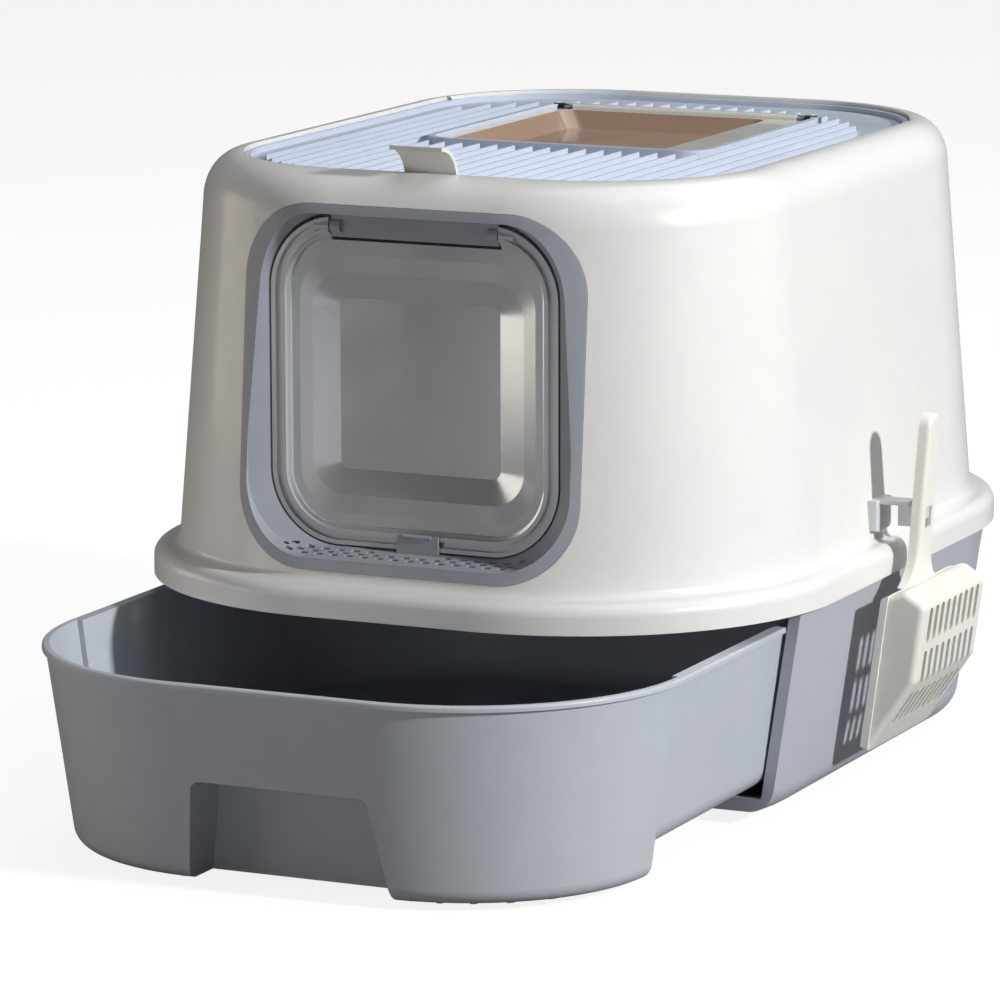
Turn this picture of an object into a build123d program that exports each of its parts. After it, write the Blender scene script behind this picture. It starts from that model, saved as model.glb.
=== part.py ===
from build123d import *
import math
import os

# Drawer litter box: a white hood on a blue-grey base, with a pull-out litter drawer,
# a front flap door, a ribbed top lid with an amber skylight, and a scoop on a side holder.
# Millimetres. X is to the right, Y to the back, Z up. The pieces are drawn about the middle
# of the hood, with the floor at Z = 0, and moved at the end so that the origin lies under the
# middle of the overall box. The drawer is drawn DRAWER_OUT ahead of its closed place.

# ---------------------------------------------------------------- driving dimensions
# Hood
RIM_HALF_X = 205.0            # half width over the flared rim
RIM_HALF_Y = 271.8            # half length over the flared rim
RIM_CORNER = 154.5            # plan corner radius of the rim
RIM_BOTTOM_Z = 126.2          # underside of the rim
RIM_HEIGHT = 17.0             # height of the flared band
RIM_ROUND = 7.0               # rounding along the top of the band
RIM_STEP_X = 13.0             # how far the band stands out at the sides
RIM_STEP_Y = 16.8             # how far the band stands out at front and back
RIM_FILLET = 4.5              # hollow rounding between band and wall
HOOD_WALL = 2.8               # wall thickness
HOOD_DRAFT = 4.6              # lean of the hood walls, degrees
CROWN_HEIGHT = 26.5           # height of the rounded top edge
CROWN_IN_X = 19.8             # how far the top edge rounds in at the sides
CROWN_IN_Y = 30.8             # how far the top edge rounds in at front and back
CROWN_CORNER_DROP = 30.3      # how much the plan corner radius shrinks over the crown
CROWN_STEPS = 6
HOOD_TOP_Z = 368.5            # highest line of the hood

# Lid in the top of the hood
LID_INSET = 3.2               # how far the lid's outline lies inside the hood's highest line
LID_GAP = 1.0                 # gap all round between lid and hood
LID_PLATE = 2.4               # plate thickness
LID_SUNK = 5.1                # flat top of the lid plate below the hood's highest line
LID_LIP = 3.0                 # width of the raised edge
LID_LIP_HEIGHT = 3.0
LEDGE_WIDTH = 8.0             # ledge of the hood that carries the lid
LEDGE_THICK = 2.6
COLLAR_WALL = 2.6
RIB_PITCH = 11.2
RIB_HEIGHT = 3.3
RIB_FOOT = 10.6               # foot of one saw-tooth rib
RIB_SIDE_MARGIN = 12.4        # bare strip between ribs and lid edge at the sides
RIB_FRONT_MARGIN = 8.0
RIB_BACK_MARGIN = 37.0
RIB_ZONE_BACK_CORNER = 110.0
LID_PIVOT_FROM_BACK = 75.0    # pivot line ahead of the lid's back edge
LID_PIVOT_DROP = 8.0          # pivot line below the hood's top
LID_PIVOT_RELIEF = 9.8        # radius kept free round the pivot line inside the hood
LID_BOSS_WALL = 1.0           # wall of the boss round that relief
LID_PIN_R = 2.5
LID_PIN_CLEARANCE = 0.06
LUG_R = 5.0
LUG_LENGTH = 10.0
BUMPER_R = 3.0
BUMPER_HEIGHT = 1.2
BUMPER_FRONT_Y = -90.0
BUMPER_BACK_Y = 90.0

# Skylight in the lid
WINDOW_LEFT_X = -82.0
WINDOW_RIGHT_X = 98.0
WINDOW_FRONT_Y = -54.0
WINDOW_BACK_Y = 138.0
WINDOW_CORNER = 18.0
WINDOW_FRAME = 4.0            # width of the raised frame
WINDOW_FRAME_HEIGHT = 4.6
WINDOW_LEDGE = 5.0            # ledge that carries the skylight
WINDOW_RIB_MARGIN = 5.0       # bare strip between ribs and frame
SKYLIGHT_GAP = 0.6
SKYLIGHT_THICK = 2.0
SKYLIGHT_WIDE_BORDER = 22.0   # extra flat border at the right of the tray
SKYLIGHT_DEPTH = 10.0
SKYLIGHT_SLOPE = 9.0
ROD_R = 1.3
ROD_CAP_R = 2.6
ROD_CAP_LENGTH = 7.0
ROD_END_ROOM = 13.0           # length at each end kept clear of the skylight's knuckle
ROD_CLEARANCE = 0.06
KNUCKLE_R = 2.4
KNUCKLE_GAP = 0.5

# Lifting tab on the lid
TAB_WIDTH = 32.0
TAB_THICK = 2.2
TAB_REACH = 22.0              # radius of its forward curl
TAB_FIT = 0.2
TAB_CENTRE_X = -1.5

# Door frame in the front wall
FRAME_HALF_X = 104.5
FRAME_FOOT = 6.0              # frame's lowest line above the rim
FRAME_HEAD = 16.1             # frame's highest line below the hood's top
FRAME_CORNER = 44.6
FRAME_BAND = 5.2              # width of the flush band
FRAME_SILL_BAND = 5.6         # its width at the bottom
FRAME_PROUD = 0.4             # band stands this far proud of the wall
FRAME_SEAT = 1.5              # depth of the seat cut in the wall
FRAME_FIT = 0.25              # gap between band and seat
HOOD_OPENING_MARGIN = 2.0     # how much smaller the hole is than the band
FUNNEL_CORNER = 40.0
FUNNEL_AHEAD = 7.0            # the funnel starts this far ahead of the wall's foot
FUNNEL_BEND_DEPTH = 15.0      # where the sill bends, behind the wall's foot
SILL_RISE = 3.0
THROAT_SIDE = 15.5            # sloped wall at each side, seen from ahead
THROAT_HEAD = 5.2             # the same at the top
THROAT_FOOT = 10.0            # the same at the bottom
THROAT_CORNER = 42.5
THROAT_DEPTH = 23.5           # where the sloped walls end, behind the wall's foot
THROAT_PAST_FLAP = 0.2        # how far the throat reaches past the flap's back
FRAME_WALL = 2.2
SILL_HOLE_LENGTH = 5.6
SILL_HOLE_WIDTH = 3.0
SILL_HOLE_PITCH = 9.4
SILL_HOLE_REACH = 76.0
SILL_ROW_PITCH = 4.5
SILL_ROWS = 4
SILL_FIRST_ROW = 4.2          # first row behind the wall's foot
SILL_EDGE = 1.6               # least width of sill left in front of a slot
CLIP_WIDTH = 16.0             # snap clips that hold the frame from inside
CLIP_DEPTH = 5.0
CLIP_GAP = 0.3                # gap between clip and wall
CLIP_DROP = 40.0              # side clips below the frame's middle
CLIP_FOOT_X = 50.0            # clips under the sill
CLIP_HOLD = 3.7               # how far these reach down behind the wall

# Door flap
FLAP_GAP = 1.0                # gap beside and below the flap
FLAP_TOP_GAP = 2.2
FLAP_SET_BACK = 2.0           # front of the flap's outer ring behind the sloped walls
FLAP_WALL = 2.0
FLAP_RING = 8.6               # width of the outer ring
FLAP_RIDGE = 2.4              # width of each ridge
FLAP_RIDGE_RISE = 2.4         # how far the ridges stand forward
FLAP_SLOT_HALF_X = 52.0       # half width of the cut in the top of the ring
FLAP_SLOT_DEPTH = 13.5
PANEL_DROP = 2.2              # panel's middle below the flap's middle
DISH_SIDE = 15.7              # dish inside the flap's outline
DISH_HEAD = 19.4
DISH_CORNER = 26.0
STEP_SIDE = 7.4               # step inside the dish
STEP_HEAD = 10.4
STEP_CORNER = 20.0
PANEL_SIDE = 15.7             # panel inside the step
PANEL_HEAD = 14.3
PANEL_CORNER = 5.0
DISH_DEPTH = 2.0
STEP_DEPTH = 2.8
PANEL_DEPTH = 6.2
HINGE_BEHIND = 1.5            # hinge line behind the flap's front
HINGE_DROP = 7.7              # hinge line below the top of the throat
HINGE_BAR_HALF = 1.6          # half thickness of the bar that carries the pins
HINGE_BAR_DROP = 6.0          # how far this bar reaches below the hinge line
HINGE_PIN_R = 2.0
HINGE_CLEARANCE = 0.08
HINGE_EAR_R = 4.2
HINGE_EAR_LENGTH = 9.0
HINGE_LUG_WIDTH = 6.0
HINGE_SIDE_GAP = 0.8

# Door latch
LATCH_X = 3.0
LATCH_WIDTH = 25.5
LATCH_HEIGHT = 20.0
LATCH_THICK = 2.0
LATCH_RISE = 10.2             # top of the latch above the throat's bottom
LATCH_BACK_GAP = 0.6          # gap between latch and flap
LATCH_FIT = 0.35
LATCH_FOOT = 3.0

# Base
BASE_RIM_INSET = 3.6          # top of the base inside the hood's rim
BASE_RIM_DROP = 5.8           # top of the base below the top of the rim
BASE_DRAFT = 8.5
BASE_WALL = 2.6
BASE_FRONT_Y = -145.0
BASE_BOTTOM_Z = 8.0
BASE_BOTTOM_ROUND = 16.0
BASE_FLOOR = 3.0
BASE_POST = 6.6               # folded front edge of the side walls
BASE_POST_DEPTH = 6.0
BASE_SILL = 5.0               # the folded edge along the floor
SEAT_GAP = 0.2                # between base and hood
PAD_R = 14.0
PAD_RECESS = 1.0
PAD_X = 110.0
PAD_FRONT_Y = -110.0
PAD_BACK_Y = 185.0
RUNNER_X = 105.0
RUNNER_WIDTH = 14.0
RUNNER_LENGTH = 320.0
RUNNER_GAP = 0.3
STOP_WIDTH = 18.0
STOP_DEPTH = 7.0
STOP_CATCH = 3.0              # how far stop and lug overlap in height
STOP_X = 60.0

# Drawer
DRAWER_OUT = 148.0            # how far the drawer stands open here
DRAWER_TRAVEL = 300.0         # full opening before the stops meet
DRAWER_LIP_DROP = 10.2        # drawer's lip below the underside of the rim
DRAWER_SIDE_ROOM = 13.4       # drawer's lip inside the top of the base
DRAWER_FRONT_ROOM = 4.8       # nose behind the rim's front when closed
DRAWER_BACK_ROOM = 39.8
DRAWER_CORNER = 127.0
DRAWER_DRAFT = 8.0
DRAWER_WALL = 2.6
DRAWER_LINER = 3.4            # extra thickness inside the wall behind the nose
LINER_START = 7.0             # where it starts, behind the deep nose
DRAWER_LIP = 1.6              # rolled lip stands this far out
DRAWER_LIP_HEIGHT = 3.0
NOSE_GAP = 2.0                # between the deep nose and the base
NOSE_BOTTOM_Z = 4.0
NOSE_BOTTOM_ROUND = 9.5
BODY_BOTTOM_Z = 21.0
BODY_BOTTOM_ROUND = 14.0
GRIP_LEFT_X = -50.5
GRIP_RIGHT_X = 54.0
GRIP_LEFT_SPREAD = 6.5
GRIP_RIGHT_SPREAD = 13.0
GRIP_TOP_Z = 61.0
GRIP_DEPTH = 45.0
SKID_PITCH = 17.0
SKID_HEIGHT = 2.4
SKID_WIDTH = 3.0
SKID_REACH = 8
SKID_INSET = 32.0

# Scoop: its pan outline is given as (X, Z) corners counted from the foot of the handle
PAN_LEFT_Y = -65.0
PAN_RIGHT_Y = 35.0
PAN_WALL = 2.2
PAN_RIM_TOP = (0.6, -1.6)
PAN_TOP = (14.5, 3.8)
PAN_SHOULDER = (27.0, -4.2)
PAN_BEND = (20.8, -49.2)
PAN_TIP = (-7.3, -91.2)
PAN_RIM_TIP = (-11.3, -88.4)
PAN_ROUND = 5.5               # rounding along its outer edges
PAN_SIDE_ROUND = 4.0          # rounding round its two sides
PAN_RIM_WIDTH = 4.5           # thickened band along the open edge
PAN_RIM_RISE = 1.2
SLOT_PITCH = 9.4
SLOT_WIDTH = 4.8
SLOT_FIRST_DROP = 6.6         # top of the first row below the foot of the handle
SLOT_ROW_PITCH = 25.4
SLOT_ROW_LENGTH = 20.4
SLOT_ROWS = 3
HANDLE_Y = -15.0
HANDLE_OFF_RIM = 8.5          # foot of the handle outside the rim
HANDLE_THICK = 7.0
HANDLE_FOOT_DROP = 5.2        # foot of the handle below the underside of the rim
HANDLE_LENGTH = 99.5
HANDLE_HALF_FOOT = 24.0
HANDLE_HALF_NECK = 10.5
HANDLE_HALF_TIP = 8.6
HANDLE_NECK = 21.0            # neck above the foot
HANDLE_LEAN = 4.0
HANDLE_WALL = 2.0
HANDLE_ROUND = 2.5
HANDLE_SLOT_WIDTH = 9.0       # slot through the handle that hangs on the holder's peg
HANDLE_SLOT_HEIGHT = 12.4

# Scoop holder
HOLDER_WIDTH = 24.0
HOLDER_HEIGHT = 18.0
HOLDER_RISE = 6.8             # plate above the top of the rim
HOLDER_STAND_OUT = 3.5        # plate's face outside the wall's foot
HOLDER_ROUND = 3.0
SHELF_WIDTH = 13.0            # shelf along the top of the holder
SHELF_THICK = 2.4
WEB_WIDTH = 4.0               # web under the shelf
WEB_DROP = 15.0
WEB_BACK_GAP = 0.4            # between the web and the handle
PEG_WIDTH = 7.6
PEG_HEIGHT = 7.0
PEG_GAP = 0.3                 # between the peg and the top of the handle's slot
PEG_SET_BACK = 1.6            # peg's tip behind the handle's outer face
HOLDER_PIN_R = 2.5            # pins that fasten the holder in the hood wall
HOLDER_PIN_FIT = 0.1
HOLDER_PIN_SPREAD = 9.0
HOLDER_PIN_IN = 5.0           # length inside the wall's outer face
HOLDER_PIN_OUT = 3.0          # length outside it

# ---------------------------------------------------------------- values worked out
HOOD_HALF_X = RIM_HALF_X - RIM_STEP_X
HOOD_HALF_Y = RIM_HALF_Y - RIM_STEP_Y
HOOD_CORNER = RIM_CORNER - RIM_STEP_X
RIM_TOP_Z = RIM_BOTTOM_Z + RIM_HEIGHT
CROWN_START_Z = HOOD_TOP_Z - CROWN_HEIGHT
CROWN_LEAN = (CROWN_START_Z - RIM_TOP_Z) * math.tan(math.radians(HOOD_DRAFT))
FRONT_CLEAR_Y = -RIM_HALF_Y - 10.0
LID_HALF_X = HOOD_HALF_X - CROWN_LEAN - CROWN_IN_X - LID_INSET
LID_HALF_Y = HOOD_HALF_Y - CROWN_LEAN - CROWN_IN_Y - LID_INSET
LID_CORNER = HOOD_CORNER - CROWN_LEAN - CROWN_CORNER_DROP - LID_INSET
LID_PLATE_TOP_Z = HOOD_TOP_Z - LID_SUNK
LID_PIVOT_Y = LID_HALF_Y - LID_PIVOT_FROM_BACK
LID_PIVOT_Z = HOOD_TOP_Z - LID_PIVOT_DROP
RIB_ZONE_HALF_X = LID_HALF_X - RIB_SIDE_MARGIN
RIB_ZONE_FRONT_Y = RIB_FRONT_MARGIN - LID_HALF_Y
RIB_ZONE_BACK_Y = LID_HALF_Y - RIB_BACK_MARGIN
RIB_ZONE_FRONT_CORNER = LID_CORNER - RIB_FRONT_MARGIN
LID_BOTTOM_Z = LID_PLATE_TOP_Z - LID_PLATE
LEDGE_TOP_Z = LID_BOTTOM_Z - BUMPER_HEIGHT
LEDGE_BOTTOM_Z = LEDGE_TOP_Z - LEDGE_THICK
BASE_FLOOR_TOP_Z = BASE_BOTTOM_Z + BASE_FLOOR
ROD_Y = WINDOW_BACK_Y - WINDOW_FRAME - SKYLIGHT_GAP - KNUCKLE_R
ROD_Z = LID_PLATE_TOP_Z + ROD_CAP_R
FRAME_BOTTOM_Z = RIM_TOP_Z + FRAME_FOOT
FRAME_TOP_Z = HOOD_TOP_Z - FRAME_HEAD
FRAME_CENTRE_Z = (FRAME_BOTTOM_Z + FRAME_TOP_Z) / 2
FUNNEL_FRONT_Y = -HOOD_HALF_Y - FUNNEL_AHEAD
FUNNEL_BEND_Y = FUNNEL_BEND_DEPTH - HOOD_HALF_Y
THROAT_HALF_X = FRAME_HALF_X - THROAT_SIDE
THROAT_TOP_Z = FRAME_TOP_Z - THROAT_HEAD
THROAT_BOTTOM_Z = FRAME_BOTTOM_Z + THROAT_FOOT
THROAT_Y = THROAT_DEPTH - HOOD_HALF_Y
SILL_FIRST_ROW_Y = SILL_FIRST_ROW - HOOD_HALF_Y
FLAP_FACE_Y = THROAT_Y + FLAP_SET_BACK
THROAT_BACK_Y = FLAP_FACE_Y + FLAP_WALL + THROAT_PAST_FLAP
HINGE_Y = FLAP_FACE_Y + HINGE_BEHIND
HINGE_Z = THROAT_TOP_Z - HINGE_DROP
FLAP_HALF_X = THROAT_HALF_X - FLAP_GAP
FLAP_TOP_Z = THROAT_TOP_Z - FLAP_TOP_GAP
FLAP_BOTTOM_Z = THROAT_BOTTOM_Z + FLAP_GAP
FLAP_HALF_Z = (FLAP_TOP_Z - FLAP_BOTTOM_Z) / 2
FLAP_CENTRE_Z = (FLAP_TOP_Z + FLAP_BOTTOM_Z) / 2
FLAP_CORNER = THROAT_CORNER - FLAP_GAP
FLAP_FRONT_Y = FLAP_FACE_Y - FLAP_RIDGE_RISE
PANEL_CENTRE_Z = FLAP_CENTRE_Z - PANEL_DROP
DISH_HALF_X = FLAP_HALF_X - DISH_SIDE
DISH_HALF_Z = FLAP_HALF_Z - DISH_HEAD
STEP_HALF_X = DISH_HALF_X - STEP_SIDE
STEP_HALF_Z = DISH_HALF_Z - STEP_HEAD
PANEL_HALF_X = STEP_HALF_X - PANEL_SIDE
PANEL_HALF_Z = STEP_HALF_Z - PANEL_HEAD
LATCH_BACK_Y = FLAP_FRONT_Y - LATCH_BACK_GAP
LATCH_TOP_Z = THROAT_BOTTOM_Z + LATCH_RISE
BASE_HALF_X = RIM_HALF_X - BASE_RIM_INSET
BASE_HALF_Y = RIM_HALF_Y - BASE_RIM_INSET
BASE_CORNER = RIM_CORNER - BASE_RIM_INSET
BASE_TOP_Z = RIM_TOP_Z - BASE_RIM_DROP
DRAWER_HALF_X = BASE_HALF_X - DRAWER_SIDE_ROOM
DRAWER_FRONT_Y = DRAWER_FRONT_ROOM - RIM_HALF_Y
DRAWER_BACK_Y = RIM_HALF_Y - DRAWER_BACK_ROOM
DRAWER_LIP_Z = RIM_BOTTOM_Z - DRAWER_LIP_DROP
NOSE_BACK_Y = BASE_FRONT_Y - NOSE_GAP
GRIP_BACK_Y = DRAWER_FRONT_Y + GRIP_DEPTH
DRAWER_CENTRE_Y = (DRAWER_FRONT_Y + DRAWER_BACK_Y) / 2
DRAWER_HALF_Y = (DRAWER_BACK_Y - DRAWER_FRONT_Y) / 2
STOP_Y = BASE_FRONT_Y + BASE_POST_DEPTH
STOP_TOP_Z = BODY_BOTTOM_Z - 2.0
HANDLE_FOOT_X = RIM_HALF_X + HANDLE_OFF_RIM
HANDLE_FOOT_Z = RIM_BOTTOM_Z - HANDLE_FOOT_DROP
HANDLE_NECK_Z = HANDLE_FOOT_Z + HANDLE_NECK
HANDLE_TIP_Z = HANDLE_FOOT_Z + HANDLE_LENGTH
HOLDER_BOTTOM_Z = RIM_TOP_Z + HOLDER_RISE
HOLDER_TOP_Z = HOLDER_BOTTOM_Z + HOLDER_HEIGHT
HOLDER_PLATE_X = HOOD_HALF_X + HOLDER_STAND_OUT
HANDLE_SLOT_TOP_Z = HOLDER_TOP_Z - SHELF_THICK
PEG_TOP_Z = HANDLE_SLOT_TOP_Z - PEG_GAP


# ---------------------------------------------------------------- shared shapes
def plan(half_x, half_y, radius, z, centre_y=0.0):
    """A rounded rectangle lying level at height z."""
    return Pos(0, centre_y, z) * RectangleRounded(2 * half_x, 2 * half_y, radius)


def plan_block(half_x, half_y, radius, z_low, z_high, centre_y=0.0):
    """An upright block with a rounded-rectangle plan."""
    return extrude(plan(half_x, half_y, radius, z_low, centre_y), z_high - z_low)


def drafted_block(half_x, half_y, radius, z_top, z_low, draft, centre_y=0.0):
    """A block that narrows downwards from z_top to z_low by the draft angle."""
    inset = (z_top - z_low) * math.tan(math.radians(draft))
    upper = plan(half_x, half_y, radius, z_top, centre_y)
    lower = plan(half_x - inset, half_y - inset, radius - inset, z_low, centre_y)
    return loft([lower, upper], ruled=True)


def limits_plan(left, right, front, back, radius, z):
    """A level rounded rectangle given by its four limits."""
    shape = RectangleRounded(right - left, back - front, radius)
    return Pos((left + right) / 2, (front + back) / 2, z) * shape


def box_between(low, high):
    """A plain box from its lowest to its highest corner."""
    size = [high[i] - low[i] for i in range(3)]
    middle = [(high[i] + low[i]) / 2 for i in range(3)]
    return Pos(*middle) * Box(*size)


def rod_x(x_one, x_two, y, z, radius):
    """A round bar along X between two X values."""
    length = abs(x_two - x_one)
    return Pos((x_one + x_two) / 2, y, z) * Rot(0, 90, 0) * Cylinder(radius, length)


def upright(half_x, bottom_z, top_z, radius, y):
    """A rounded rectangle standing in the XZ plane at depth y."""
    face_plane = Plane(origin=(0, y, (bottom_z + top_z) / 2), x_dir=(1, 0, 0), z_dir=(0, -1, 0))
    return face_plane * RectangleRounded(2 * half_x, top_z - bottom_z, radius)


def upright_block(half_x, bottom_z, top_z, radius, y_front, y_back):
    """A block with an upright rounded outline, from y_front to y_back."""
    return extrude(upright(half_x, bottom_z, top_z, radius, y_back), y_back - y_front)


def outline_distance(point, half_x, half_y, radius):
    """Distance of a point from a rounded rectangle's edge, seen from above."""
    over_x = abs(point.X) - (half_x - radius)
    over_y = abs(point.Y) - (half_y - radius)
    outside = math.hypot(max(over_x, 0), max(over_y, 0))
    return outside + min(max(over_x, over_y), 0) - radius


# ---------------------------------------------------------------- hood
def hood_lean(z):
    """How far the drafted wall has leaned in at height z."""
    return (z - RIM_TOP_Z) * math.tan(math.radians(HOOD_DRAFT))


def front_wall_y(x, z, inset):
    """Depth of the front wall, or of a surface set in from it, at one place."""
    past = max(abs(x) - (HOOD_HALF_X - HOOD_CORNER), 0)
    radius = HOOD_CORNER - hood_lean(z) - inset
    return -(HOOD_HALF_Y - HOOD_CORNER) - math.sqrt(radius ** 2 - past ** 2)


def hood_wall(inset, z_low):
    """The drafted wall up to the crown as a solid block, set in by inset."""
    sections = []
    for z in (z_low, CROWN_START_Z):
        lean = hood_lean(z) + inset
        sections.append(plan(HOOD_HALF_X - lean, HOOD_HALF_Y - lean, HOOD_CORNER - lean, z))
    return loft(sections, ruled=True)


def hood_crown(inset):
    """The rounded top of the hood as a solid block, set in by inset."""
    start = hood_lean(CROWN_START_Z) + inset
    sections = []
    for step in range(CROWN_STEPS + 1):
        angle = math.radians(90 * step / CROWN_STEPS)
        turned = 1 - math.cos(angle)
        sections.append(plan(
            HOOD_HALF_X - start - CROWN_IN_X * turned,
            HOOD_HALF_Y - start - CROWN_IN_Y * turned,
            HOOD_CORNER - start - CROWN_CORNER_DROP * turned,
            CROWN_START_Z + (CROWN_HEIGHT - inset) * math.sin(angle),
        ))
    return loft(sections)


def hood_form(inset, z_low):
    """Wall and crown together, set in by inset."""
    return hood_wall(inset, z_low) + hood_crown(inset)


def lid_half_x_at(y):
    """Half width of the lid outline at depth y."""
    past = max(abs(y) - (LID_HALF_Y - LID_CORNER), 0)
    return LID_HALF_X - LID_CORNER + math.sqrt(LID_CORNER ** 2 - past ** 2)


def lid_opening(grow, z_low, z_high):
    """Block with the lid's outline grown by a margin."""
    return plan_block(LID_HALF_X + grow, LID_HALF_Y + grow, LID_CORNER + grow, z_low, z_high)


def lid_pin(side, radius):
    """The pin that carries one side of the lid."""
    edge = lid_half_x_at(LID_PIVOT_Y)
    return rod_x(side * (edge - LUG_LENGTH + 1), side * (edge + LUG_LENGTH), LID_PIVOT_Y, LID_PIVOT_Z, radius)


def holder_pin(level, radius):
    """One of the pins that fasten the scoop holder in the hood wall."""
    z = (HOLDER_BOTTOM_Z + HOLDER_TOP_Z) / 2 + level * HOLDER_PIN_SPREAD / 2
    wall_x = HOOD_HALF_X - hood_lean(z)
    return rod_x(wall_x - HOLDER_PIN_IN, wall_x + HOLDER_PIN_OUT, HANDLE_Y, z, radius)


def make_hood():
    band = plan_block(RIM_HALF_X, RIM_HALF_Y, RIM_CORNER, RIM_BOTTOM_Z, RIM_TOP_Z)
    band = fillet(band.edges().group_by(Axis.Z)[-1], RIM_ROUND)
    shell = band + hood_wall(0.0, RIM_TOP_Z - RIM_ROUND)
    foot = []
    for edge in shell.edges():
        point = edge.position_at(0.5)
        near = abs(outline_distance(point, HOOD_HALF_X, HOOD_HALF_Y, HOOD_CORNER)) < 1.0
        if near and abs(point.Z - RIM_TOP_Z) < 0.01:
            foot.append(edge)
    shell = fillet(foot, RIM_FILLET) + hood_crown(0.0)

    ceiling = BASE_TOP_Z + SEAT_GAP
    cavity = hood_form(HOOD_WALL, ceiling - 1.0)
    cavity = cavity + plan_block(
        RIM_HALF_X - HOOD_WALL, RIM_HALF_Y - HOOD_WALL, RIM_CORNER - HOOD_WALL,
        RIM_BOTTOM_Z - 1.0, ceiling)
    shell = shell - cavity

    # collar and ledge that hold the lid, open behind the lid's pivot
    collar = lid_opening(LID_GAP + COLLAR_WALL, LEDGE_BOTTOM_Z, HOOD_TOP_Z - 1.0)
    skin = hood_form(HOOD_WALL / 2, CROWN_START_Z - 20.0)
    for side in (-1, 1):
        edge = lid_half_x_at(LID_PIVOT_Y)
        boss = rod_x(side * edge, side * (edge + LUG_LENGTH), LID_PIVOT_Y, LID_PIVOT_Z,
                     LID_PIVOT_RELIEF + LID_BOSS_WALL)
        collar = collar + (boss & skin)
    shell = shell + collar
    rear_y = LID_PIVOT_Y - 2 * LUG_R
    cut_z = LEDGE_BOTTOM_Z - 2 * LID_PIVOT_RELIEF
    behind = box_between((-RIM_HALF_X, rear_y, 0), (RIM_HALF_X, RIM_HALF_Y, HOOD_TOP_Z + 5))
    shell = shell - lid_opening(LID_GAP, LEDGE_TOP_Z, HOOD_TOP_Z + 5)
    shell = shell - lid_opening(LID_GAP - LEDGE_WIDTH, cut_z, HOOD_TOP_Z)
    shell = shell - (lid_opening(LID_GAP, cut_z, HOOD_TOP_Z) & behind)
    relief_x = LID_HALF_X + LID_GAP / 2
    shell = shell - rod_x(-relief_x, relief_x, LID_PIVOT_Y, LID_PIVOT_Z, LID_PIVOT_RELIEF)
    for side in (-1, 1):
        shell = shell - lid_pin(side, LID_PIN_R)

    # seat and hole for the door frame
    seat = upright_block(FRAME_HALF_X + FRAME_FIT, FRAME_BOTTOM_Z - FRAME_FIT, FRAME_TOP_Z + FRAME_FIT,
                         FRAME_CORNER + FRAME_FIT, FRONT_CLEAR_Y, 0)
    shell = shell - (seat - hood_form(FRAME_SEAT, RIM_TOP_Z))
    margin = HOOD_OPENING_MARGIN
    hole = upright_block(FRAME_HALF_X - margin, FRAME_BOTTOM_Z + margin, FRAME_TOP_Z - margin,
                         FRAME_CORNER - margin, FRONT_CLEAR_Y, 0)
    shell = shell - hole
    for level in (-1, 1):
        shell = shell - holder_pin(level, HOLDER_PIN_R + HOLDER_PIN_FIT)
    return shell


# ---------------------------------------------------------------- door frame, flap and latch
def funnel(grow):
    """The sloped opening of the door frame as a solid block, grown by a margin."""
    bottom = FRAME_BOTTOM_Z + FRAME_SILL_BAND
    top = FRAME_TOP_Z - FRAME_BAND
    half_x = FRAME_HALF_X - FRAME_BAND
    front = upright(half_x + grow, bottom - grow, top + grow, FUNNEL_CORNER + grow, FUNNEL_FRONT_Y)
    bend = upright(half_x + grow, bottom + SILL_RISE - grow, top + grow, FUNNEL_CORNER + grow, FUNNEL_BEND_Y)
    throat = upright(THROAT_HALF_X + grow, THROAT_BOTTOM_Z - grow, THROAT_TOP_Z + grow,
                     THROAT_CORNER + grow, THROAT_Y)
    tunnel = upright_block(THROAT_HALF_X + grow, THROAT_BOTTOM_Z - grow, THROAT_TOP_Z + grow,
                           THROAT_CORNER + grow, THROAT_Y, THROAT_BACK_Y)
    return loft([front, bend], ruled=True) + loft([bend, throat], ruled=True) + tunnel


def latch_block(grow):
    """The upright tongue of the latch, grown by a margin for its guide."""
    return box_between(
        (LATCH_X - LATCH_WIDTH / 2 - grow, LATCH_BACK_Y - LATCH_THICK - grow, LATCH_TOP_Z - LATCH_HEIGHT),
        (LATCH_X + LATCH_WIDTH / 2 + grow, LATCH_BACK_Y + grow, LATCH_TOP_Z))


def sill_holes():
    """Rows of small slots in the door sill, each row set half a pitch from the last."""
    holes = []
    for row in range(SILL_ROWS):
        y = SILL_FIRST_ROW_Y + row * SILL_ROW_PITCH
        x = -SILL_HOLE_REACH + (row % 2) * SILL_HOLE_PITCH / 2
        while x <= SILL_HOLE_REACH:
            slot = extrude(SlotOverall(SILL_HOLE_LENGTH, SILL_HOLE_WIDTH), 12.0)
            under_latch = row == SILL_ROWS - 1 and abs(x - LATCH_X) < LATCH_WIDTH / 2 + SILL_HOLE_LENGTH
            front_y = front_wall_y(abs(x) + SILL_HOLE_LENGTH / 2, THROAT_BOTTOM_Z, 0.0)
            if front_y + SILL_EDGE < y - SILL_HOLE_WIDTH / 2 and not under_latch:
                holes.append(Pos(x, y, THROAT_BOTTOM_Z - 10.0) * slot)
            x += SILL_HOLE_PITCH
    return holes


def hinge_pin(side, radius, extra=0.0):
    """The stub pin on one side of the flap."""
    start = FLAP_SLOT_HALF_X - HINGE_SIDE_GAP - HINGE_LUG_WIDTH
    end = FLAP_SLOT_HALF_X + HINGE_EAR_LENGTH - 1.0 + extra
    return rod_x(side * start, side * end, HINGE_Y, HINGE_Z, radius)


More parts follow.
